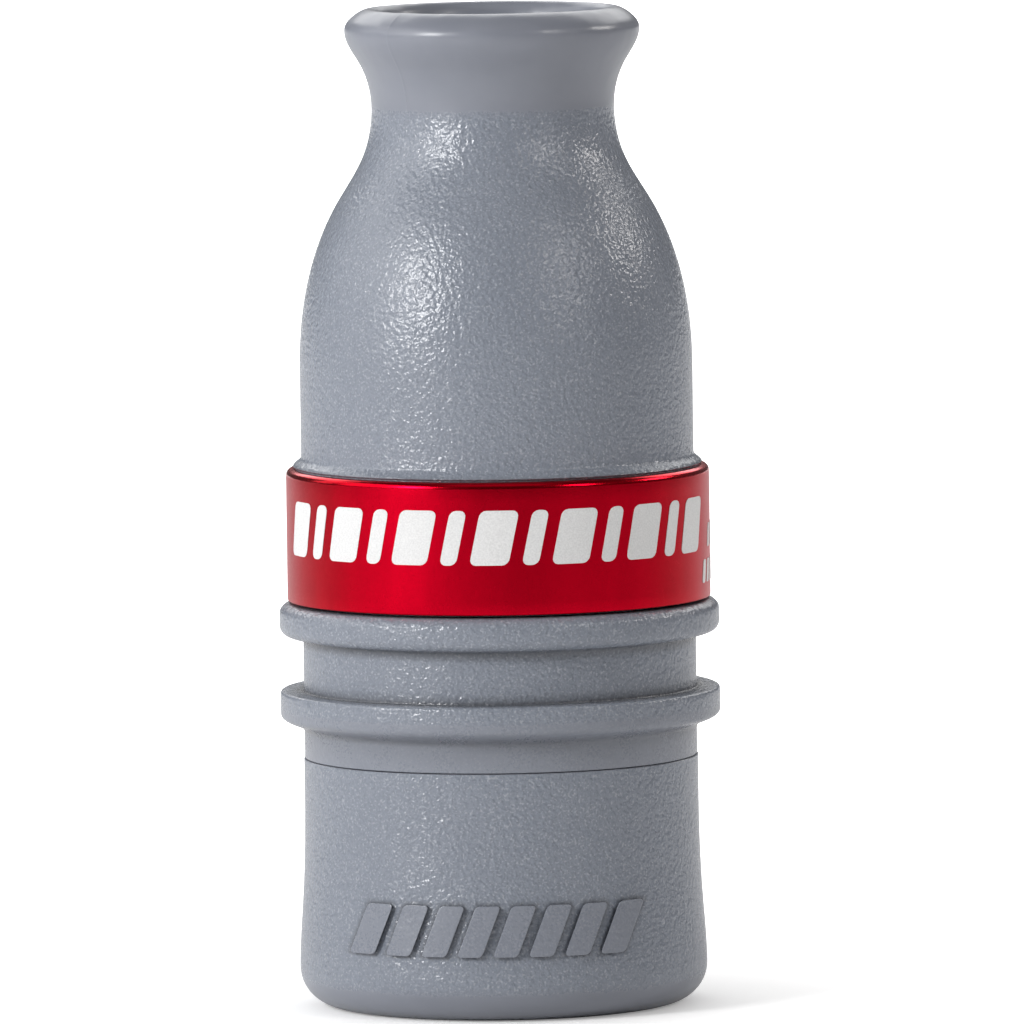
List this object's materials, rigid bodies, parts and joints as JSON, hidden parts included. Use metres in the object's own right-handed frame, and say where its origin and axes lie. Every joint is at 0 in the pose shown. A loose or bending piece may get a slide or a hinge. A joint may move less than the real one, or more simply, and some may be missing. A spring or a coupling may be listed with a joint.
{
  "type": "reed game call",
  "caption": "Bottle-shaped hand reed call: blown at the flared lip of a barrel with a metal band, which pulls off a ribbed insert with a lanyard groove, tone board and open sound end.",
  "frame": {"origin": "centre of the flat ring at the sound end, which the call stands on", "axes": "+Z along the call's axis towards the blown lip; the reed and the raised bars face -Y, the front"},
  "size_m": [0.034, 0.034, 0.077],
  "materials": {
    "textured_shell": "spark-textured, slightly glossy",
    "band": "anodised red, satin",
    "seal": "matte black",
    "board": "moulded, off-white",
    "cork": "cut cork",
    "reed": "rolled strip"
  },
  "bodies": {
    "insert": {"end_shell": "textured_shell", "insert": "textured_shell", "tone_board": "board", "reed_wedge": "cork"},
    "seals": {"tenon_o_ring_lower": "seal", "tenon_o_ring_upper": "seal"},
    "barrel": {"barrel": "textured_shell", "band": "band"},
    "reed": {"reed": "reed"},
    "tuning_ring": {"tuning_ring": "seal"}
  },
  "joints": [
    {"name": "barrel_turn", "type": "hinge", "parent": "insert", "child": "seals", "pos_m": [0, 0, 0.0368], "axis": [0, 0, 1], "continuous": true},
    {"name": "barrel_pull", "type": "slide", "parent": "seals", "child": "barrel", "axis": [0, 0, 1], "range_m": [0, 0.036]},
    {"name": "reed_flex", "type": "hinge", "parent": "insert", "child": "reed", "pos_m": [0, -0.0002, 0.046], "axis": [-1, 0, 0], "range_deg": [-0.6, 1.3], "stiffness_Nm_per_rad": 0.3},
    {"name": "tuning_slide", "type": "slide", "parent": "insert", "child": "tuning_ring", "axis": [0, 0, 1], "range_m": [-0.002, 0.005]}
  ]
}
